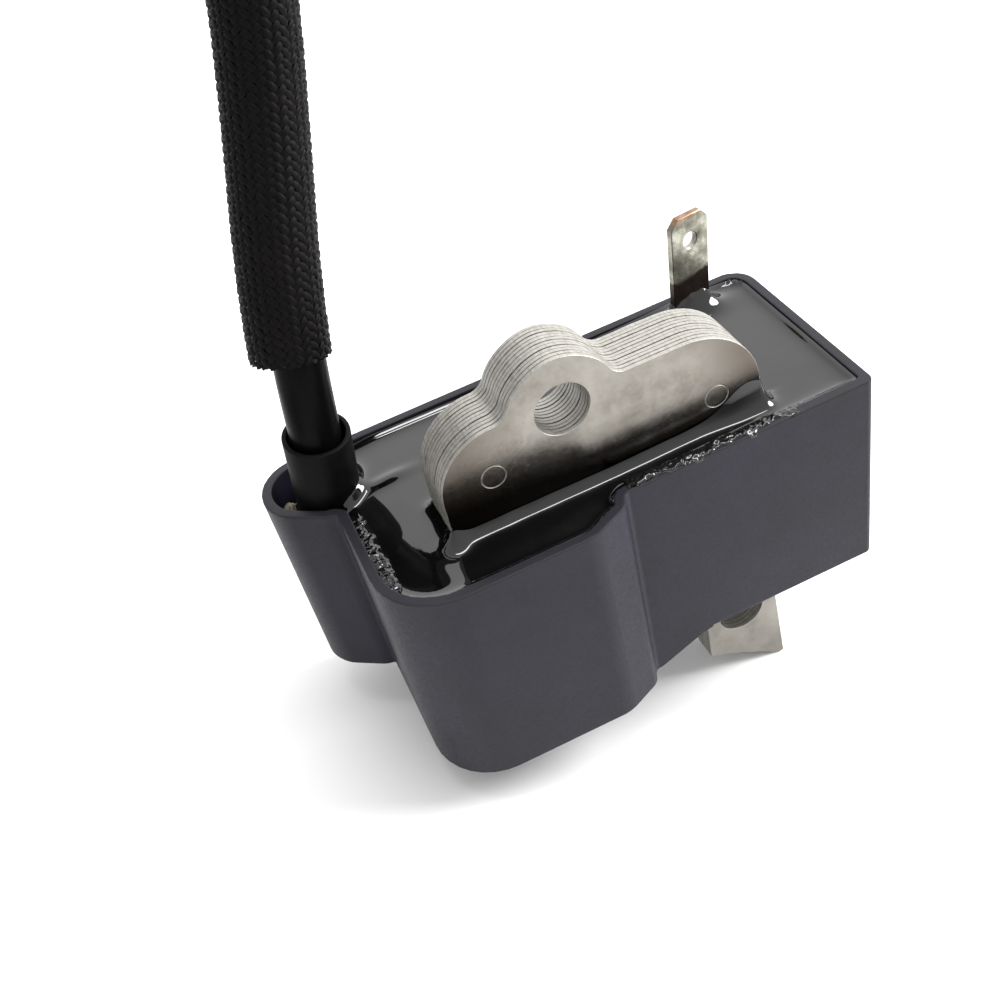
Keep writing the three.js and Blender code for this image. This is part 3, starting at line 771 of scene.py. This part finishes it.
# %% [markdown]
# The sheets were pressed together, so they don't line up exactly. Each is moved by a few hundredths of a
# millimetre, and the bevel on both rims leaves the thin dark line between neighbours.

# %% Stack of laminations
SHEETS = 12
PITCH = 0.5
VARNISH = 0.04
RIVET_RADIUS = 1.2
chance = random.Random(3)


def sheet_or_edge(face):
    return 0 if abs(face.normal.y) > 0.9 else 1


def stacked_sheet(face):
    """The bevels between two sheets are brown with varnish."""
    return 2 if 0.3 < abs(face.normal.y) < 0.9 else sheet_or_edge(face)


STACK = SHEETS * PITCH - VARNISH
STRAY = 0.03
holes = BOLT_HOLES + [(x, z, RIVET_RADIUS + 0.05) for x, z in RIVETS.values()]
for number in range(SHEETS):
    thin = upright(plate(LAMINATION, PITCH - VARNISH, holes, edge=0.045, steps=14))
    place = Vector((0, number * PITCH + PITCH - VARNISH, 0))
    if number:
        place.x = chance.uniform(-STRAY, STRAY)
        place.z = chance.uniform(-STRAY, STRAY)
    moved(thin, Matrix.Translation(place))
    keep(thin, f"core_sheet_{number + 1:02d}", [f"lamination_{number + 1:02d}"],
         [steel_face, steel_edge, varnish], pick=stacked_sheet if number else sheet_or_edge,
         sharp=30)

for name, (x, z) in RIVETS.items():
    rivet = bmesh.new()
    bmesh.ops.create_cone(rivet, cap_ends=True, segments=32, radius1=RIVET_RADIUS,
                          radius2=RIVET_RADIUS, depth=STACK)
    soften(rivet, 0.07)
    moved(upright(rivet), Matrix.Translation((x, STACK / 2, z)))
    keep(rivet, name.replace("core_rivet", "stack_rivet"), [name],
         [steel_face, steel_edge], pick=sheet_or_edge, sharp=30)

# %% [markdown]
# ## Case
# One outline gives the walls: a wide winding end, a narrower electronics end, and the round tower for the
# lead. The inside follows it 1.1 mm in. The winding end is 2.5 mm deeper, and blends into the shallow
# end with a hollow curve. The two core legs come out through slots in the floor.

# %% Case walls
CASE = [
    (-21.7, -7.42, 7.0), (-1.8, -7.42, 4.0), (2.3, -5.5, 1.6), (2.9, -3.95, 0.8),
    (30.0, -3.95, 0.8), (30.0, 20.7, 3.0), (-27.75, 20.7, 4.5), (-27.75, 13.4, 4.5),
    (-22.715, 9.9, 2.5), (-21.7, 9.75, 0.5),
]
WALL = 1.1
NARROW_BOTTOM = -23.8
WIDE_BOTTOM = -26.3
FLOOR = 1.4
TOWER_BOTTOM = -22.9
SLOT_GAP = 0.3


def up_from(low, shape):
    return moved(shape, Matrix.Translation((0, 0, low)))


def leg_room(leg, top):
    """A slot for one leg of the core, a little wider than the leg all round."""
    return block((leg - SLOT_GAP, -SLOT_GAP, -30), (leg + LEG_WIDTH + SLOT_GAP, 6 + SLOT_GAP, top))


walls = up_from(NARROW_BOTTOM, plate(CASE, -NARROW_BOTTOM))
deep_outline = CASE[:6] + [(-21.7, 20.7, 1.0)]
deep = up_from(WIDE_BOTTOM, plate(deep_outline, 3.2))
blend = [(-30, -27.3, 0), (1.42, -27.3, 0), (9.4, NARROW_BOTTOM, 4.0), (10.8, NARROW_BOTTOM, 0),
         (10.8, -22, 0), (-30, -22, 0)]
deep = carve(deep, moved(upright(plate(blend, 40)), Matrix.Translation((0, 30, 0))), "INTERSECT")
tub = carve(walls, deep, "UNION")
tub = carve(tub, up_from(NARROW_BOTTOM + FLOOR, plate(inset(CASE, WALL), 30)))
deep_room = up_from(WIDE_BOTTOM + FLOOR, plate(inset(deep_outline, WALL), 3.0))
deep_room = carve(deep_room, block((-30, -10, -30), (1.7, 30, 0)), "INTERSECT")
tub = carve(tub, deep_room)
tub = carve(tub, block((-29, 8.5, -25), (-21.8, 21.5, TOWER_BOTTOM)))
for leg in (LEFT_LEG, RIGHT_LEG):
    tub = carve(tub, leg_room(leg, -20))
print("case:", len(tub.faces), "faces")

# %% [markdown]
# The rim was trimmed by hand, so its edge is rounded unevenly, and it stands a little higher towards the
# right end. A fine bevel and a little noise along the top show that. Weighted normals keep the wide flat
# walls flat to the eye, although the bevels beside them are smooth.

# %% Case rim and corners
RIM_UNEVEN = 0.10
RIM_RISE = 0.32


def at_rim(edge):
    return min(vert.co.z for vert in edge.verts) > -0.01


def under_the_narrow_end(edge):
    heights = [vert.co.z - NARROW_BOTTOM for vert in edge.verts]
    return max(heights) < 0.01 and min(heights) > -0.01 and max(v.co.x for v in edge.verts) > 8.1


bmesh.ops.dissolve_limit(tub, angle_limit=math.radians(0.3), verts=tub.verts, edges=tub.edges)
soften(tub, 0.22, segments=2, chosen=at_rim)
soften(tub, 0.35, segments=3, sharper_than=70, chosen=under_the_narrow_end)
for vert in tub.verts:
    if vert.co.z > -0.3:
        rise = min(max((vert.co.x - 2.0) / 28.0, 0.0), 1.0)
        vert.co.z += RIM_UNEVEN * (noise.noise(vert.co * 0.9) - 0.3) + RIM_RISE * rise
case = keep(tub, "case_tub", ["case"], [nylon], sharp=32)
flat_walls = case.modifiers.new("flat walls", "WEIGHTED_NORMAL")
flat_walls.keep_sharp = True

# %% [markdown]
# ## Epoxy filling
# The filling is a block with the same outline as the inside of the case. Its top is a fine grid, lifted
# where the liquid climbed: up the walls, the core, the collar and the tab, and in one thick run on the
# core's right front. It has sunk a little towards the left wall, so the mirror image of the lead falls
# across the left corner. In the tower it stands lower.

# %% Height of the filling
filling_outline = inset(CASE, WALL + 0.02)
edge_shape = sketch(filling_outline)
wall_line = np.array([vert.co.xy for vert in edge_shape.faces[:][0].verts])
edge_shape.free()
TAB_X, TAB_Y = 21.88, 17.0
TAB_LEAN, TAB_TWIST = math.radians(4.3), math.radians(12.0)
BLADE_HALF, BLADE_THICK = 2.4, 0.8
COLLAR_RADIUS = 3.35
FILL_LEVEL = -0.85
TOWER_DROP = 3.2
collar_at_rim = STANDING.inverted() @ (Vector((-24.25, 8.02, 30.0)) * MM)


def far_from_wall(x, y):
    here = np.array((x, y))
    ahead = np.roll(wall_line, -1, axis=0) - wall_line
    share = ((here - wall_line) * ahead).sum(1) / (ahead * ahead).sum(1)
    nearest = wall_line + ahead * share.clip(0, 1)[:, None]
    return float(np.sqrt(((here - nearest) ** 2).sum(1)).min())


def far_from_box(x, y, x0, y0, x1, y1):
    return math.hypot(max(x0 - x, 0, x - x1), max(y0 - y, 0, y - y1))


def hump(x, y, cx, cy, wide, deep):
    return math.exp(-((x - cx) / wide) ** 2 - ((y - cy) / deep) ** 2)


def climb(distance, height, reach):
    """A meniscus: how far the liquid has crept up at this distance from what it wets."""
    return height * math.exp(-max(distance, 0) / reach)


def fill_height(x, y):
    core = far_from_box(x, y, CORE_LEFT, 0, CORE_RIGHT, STACK)
    along, behind = Matrix.Rotation(-TAB_TWIST, 2) @ Vector((x - TAB_X, y - TAB_Y))
    blade = far_from_box(along, behind, -BLADE_HALF, 0.0, BLADE_HALF, BLADE_THICK)
    collar = math.hypot(x - collar_at_rim.x, y - collar_at_rim.y) - COLLAR_RADIUS
    waves = noise.noise(Vector((x * 0.08, y * 0.10, 1.7))) * 0.06
    uneven = 0.08 * noise.noise(Vector((x * 0.5, 3.1, 0)))
    fuller_on_the_right = 0.35 * min(max((x - 4) / 14, 0), 1)
    height = FILL_LEVEL + waves + fuller_on_the_right
    height += climb(far_from_wall(x, y), 0.72, 0.5) + climb(core, 1.1, 0.45 + uneven)
    height += climb(blade, 1.5, 0.45)
    if y < 1:
        height += climb(core, 2.7, 0.8) * hump(x, 0, 18.6, 0, 3.2, 1)
    if x > -22.5:
        height += climb(collar, 1.3, 0.5)
    height += 1.4 * hump(x, y, TAB_X, TAB_Y + 0.3, 3.4, 1.6)
    height += 0.3 * hump(x, y, -15.6, 12.6, 3.0, 0.8) + 0.8 * hump(x, y, CORE_LEFT, -0.2, 1.1, 1.1)
    left = max(-14.5 - x, 0)
    height -= 0.115 * left * left / (left + 1.2)
    tower = min(max((-19.6 - x) / 4.0, 0.0), 1.0) if y > 9 else 0.0
    return height - TOWER_DROP * tower * tower * (3 - 2 * tower)


print("filling stands at", round(fill_height(5, -2), 2), "in front of the core")

# %% Epoxy filling
filling = bmesh.new()
bmesh.ops.create_grid(filling, x_segments=200, y_segments=98, size=1,
                      matrix=Matrix.Translation((1.2, 6.6, 0)) @ Matrix.Diagonal((29.6, 14.6, 1, 1)))
for vert in filling.verts:
    vert.co.z = fill_height(vert.co.x, vert.co.y)
grown = bmesh.ops.extrude_face_region(filling, geom=filling.faces[:])
bottom = [part for part in grown["geom"] if isinstance(part, bmesh.types.BMVert)]
for vert in bottom:
    vert.co.z = NARROW_BOTTOM + FLOOR + 0.05
underside = [part for part in grown["geom"] if isinstance(part, bmesh.types.BMFace)]
bmesh.ops.dissolve_faces(filling, faces=underside)
filling = carve(filling, up_from(NARROW_BOTTOM, plate(filling_outline, 40)), "INTERSECT")
HAIR = 0.05
filling = carve(filling, block((CORE_LEFT - HAIR, -HAIR, YOKE_BOTTOM - HAIR),
                               (CORE_RIGHT + HAIR, STACK + HAIR, 12)))
for leg in (LEFT_LEG, RIGHT_LEG):
    filling = carve(filling, leg_room(leg, -1.2))
winding_room = block((-18.7, -5.8, -30), (1.5, 11.8, -3.2))
circuit_room = block((4.8, 10.0, -30), (28.4, 18.2, -3.3))
for room in (winding_room, circuit_room):
    filling = carve(filling, room)
keep(filling, "epoxy_filling", ["potting_compound"], [epoxy], sharp=50)

# %% [markdown]
# The epoxy was poured a little too full. Some ran over the front rim of the narrow end and some set
# against the left wall, in rough, glinting crusts. Each crust is a fine grid laid along the rim: noise
# bends it, varies its width, heaps it into lumps and roughens it with grit.

# %% Crusts of epoxy on the rim
CRUST_ROOT = 0.35
WANDER = 0.35
GRIT = 0.13


def crust(name, start, end, width, thick, base):
    strip = bmesh.new()
    bmesh.ops.create_grid(strip, x_segments=150, y_segments=12, size=1)
    raise_face(strip, -0.2)
    start, end = Vector(start), Vector(end)
    aside = (end - start).orthogonal().normalized()
    for vert in strip.verts:
        u, v, under = (vert.co.x + 1) / 2, vert.co.y, vert.co.z < -0.1
        wander = noise.noise(Vector((u * 9, 0.3, base))) * WANDER
        spread = width / 2 * (0.65 + 0.5 * noise.noise(Vector((u * 14, 5.2, v))))
        middle = start.lerp(end, u) + aside * (v * spread + wander)
        lumps = 0.8 + 0.9 * noise.noise(Vector((middle.x * 1.3, middle.y * 1.3, base)))
        bulge = thick * max(lumps, 0.05) * max(1 - v * v, 0) ** 0.5 * min(1, 12 * u, 12 * (1 - u))
        grit = GRIT * noise.noise(Vector((middle.x * 3.6, middle.y * 3.6, 2.0)))
        vert.co = (middle.x, middle.y, base + (-CRUST_ROOT if under else bulge + grit))
    keep(strip, name, [], [epoxy], sharp=60)


crust("epoxy_crust_front", (22.8, -3.1), (3.6, -3.1), 2.0, 0.26, 0.08)
crust("epoxy_crust_left", (-20.4, 8.8), (-20.0, -3.4), 2.2, 0.16, -0.22)

# %% [markdown]
# In the tower, beside the collar, a small pale wedge stands for the bright highlight on the wet resin: a
# painted highlight.

# %% Painted highlight: a pale wedge in the tower
painted_highlight_resin = plain_with_grain("resin_painted_highlight", "#6b6457", "#a89f8d", 1 / 1.5,
                              IOR=1.52, Roughness=0.35)
wedge = bmesh.new()
bmesh.ops.create_icosphere(wedge, subdivisions=4, radius=1)
for vert in wedge.verts:
    vert.co *= 1 + 0.12 * noise.noise(vert.co * 2.1)
moved(wedge, Matrix.Translation((-25.9, 16.2, -3.4)) @ Matrix.Rotation(math.radians(25), 4, "Y")
      @ Matrix.Diagonal((0.7, 1.3, 1.7, 1)))
# The pale wedge is a painted highlight on the resin in the tower pocket.
keep(wedge, "tower_painted_highlight_wedge", [], [painted_highlight_resin])

# %% [markdown]
# ## Stop-switch tab
# A 4.8 mm blade with chamfered corners and a hole for the receptacle's dimple, punched from 0.8 mm strip.
# It leans and twists a little about its foot.

# %% Tab
TAB_TOP = 11.4
TAB_FOOT = -8.0
LEANS_ABOUT = 0.9
CHAMFERED = TAB_TOP - 1.0
blade_outline = [(-BLADE_HALF, TAB_FOOT, 0), (BLADE_HALF, TAB_FOOT, 0), (BLADE_HALF, CHAMFERED, 0.1),
                 (1.5, TAB_TOP, 0.1), (-1.5, TAB_TOP, 0.1), (-BLADE_HALF, CHAMFERED, 0.1)]
blade = upright(plate(blade_outline, BLADE_THICK, [(0, TAB_TOP - 2.9, 0.9)], edge=0.07, steps=2))
moved(blade, Matrix.Translation((TAB_X, TAB_Y, -LEANS_ABOUT)) @ Matrix.Rotation(TAB_TWIST, 4, "Z")
      @ Matrix.Rotation(TAB_LEAN, 4, "Y") @ Matrix.Translation((0, BLADE_THICK, LEANS_ABOUT)))
keep(blade, "stop_switch_blade", ["kill_tab"], [tin])

# %% [markdown]
# ## Hidden pieces
# The bobbins, windings and circuit are closed in by the filling. They keep their solid shapes, with a
# finish each.

# %% Finishes for the hidden pieces
enamelled = plain_with_grain("copper_wire_enamelled", "#8a4a26", "#c07a45", 0.3, Metallic=1.0,
                             Roughness=0.3)
natural_nylon = plain_with_grain("nylon_natural", "#cfc8b4", "#ded8c6", 2.0, Roughness=0.5)
board_finish = plain_with_grain("glass_epoxy_board", "#1f5a34", "#2f7a48", 0.8, Roughness=0.4)
moulded_resin = plain_with_grain("epoxy_moulding_compound", "#1b1b1d", "#29292b", 0.6, Roughness=0.5)
HIDDEN = {
    enamelled: ["primary_winding", "secondary_winding_1", "secondary_winding_2",
                "secondary_winding_3", "ground_wire"],
    natural_nylon: ["primary_bobbin", "secondary_bobbin", "capacitor", "resistor_upper", "resistor_lower"],
    board_finish: ["circuit_board"],
    moulded_resin: ["power_transistor"],
    tin: ["ht_contact_stud"],
}
for finish, nodes in HIDDEN.items():
    for node in nodes:
        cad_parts[node].data.materials.clear()
        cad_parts[node].data.materials.append(finish)
print("hidden pieces:", sum(len(nodes) for nodes in HIDDEN.values()))

# %% [markdown]
# ## Table and light
# A plain pale table under a white sky, which is brighter behind the coil than in front of it. A large
# soft lamp stands high on the right, so the shadow falls softly to the left. A long, narrow lamp hangs
# straight overhead and draws the thin bright line along the foot of the core.

# %% Table
table_finish, tree, shader = new_finish("table_matt_white", Roughness=0.9, Base_Color=srgb("#e3e3e3"))
table = bmesh.new()
bmesh.ops.create_grid(table, x_segments=1, y_segments=1, size=3)
table_mesh = bpy.data.meshes.new("table")
table.to_mesh(table_mesh)
table.free()
table_mesh.materials.append(table_finish)
table_top = bpy.data.objects.new("table", table_mesh)
bpy.context.scene.collection.objects.link(table_top)

# %% Studio light
SKY = 2.2
world = bpy.data.worlds.new("studio")
bpy.context.scene.world = world
world.use_nodes = True
sky = world.node_tree.nodes["Background"]
sky.inputs["Color"].default_value = srgb("#ffffff")
heading = add(world.node_tree, "ShaderNodeTexCoord").outputs["Generated"]
backdrop = add(world.node_tree, "ShaderNodeVectorMath", {0: heading, 1: (0.30, 0.75, 0.59)},
               operation="DOT_PRODUCT")
share = add(world.node_tree, "ShaderNodeMapRange", {"Value": backdrop.outputs["Value"],
                                                    "From Min": -1.0, "From Max": 1.0})
glow = ramp(world.node_tree, share.outputs["Result"],
            [(0.16, 0.14), (0.38, 0.50), (0.76, 0.58), (0.96, 0.95)])
strength = add(world.node_tree, "ShaderNodeMath", {0: glow, 1: SKY}, operation="MULTIPLY")
world.node_tree.links.new(strength.outputs["Value"], sky.inputs["Strength"])
bpy.context.scene.view_settings.view_transform = "Standard"


def soft_lamp(name, place, target, size, power):
    light = bpy.data.lights.new(name, "AREA")
    light.shape = "ELLIPSE"
    light.size, light.size_y = size
    light.energy = power
    lamp = bpy.data.objects.new(name, light)
    lamp.location = place
    lamp.rotation_euler = (Vector(target) - Vector(place)).to_track_quat("-Z", "Y").to_euler()
    bpy.context.scene.collection.objects.link(lamp)


soft_lamp("softbox", (0.60, -0.10, 0.52), (0, 0, 0.02), size=(0.40, 0.40), power=9.0)
soft_lamp("strip", (-0.03, 0.0, 0.80), (-0.03, 0.0001, 0), size=(0.60, 0.10), power=2.5)
print("lights ready")
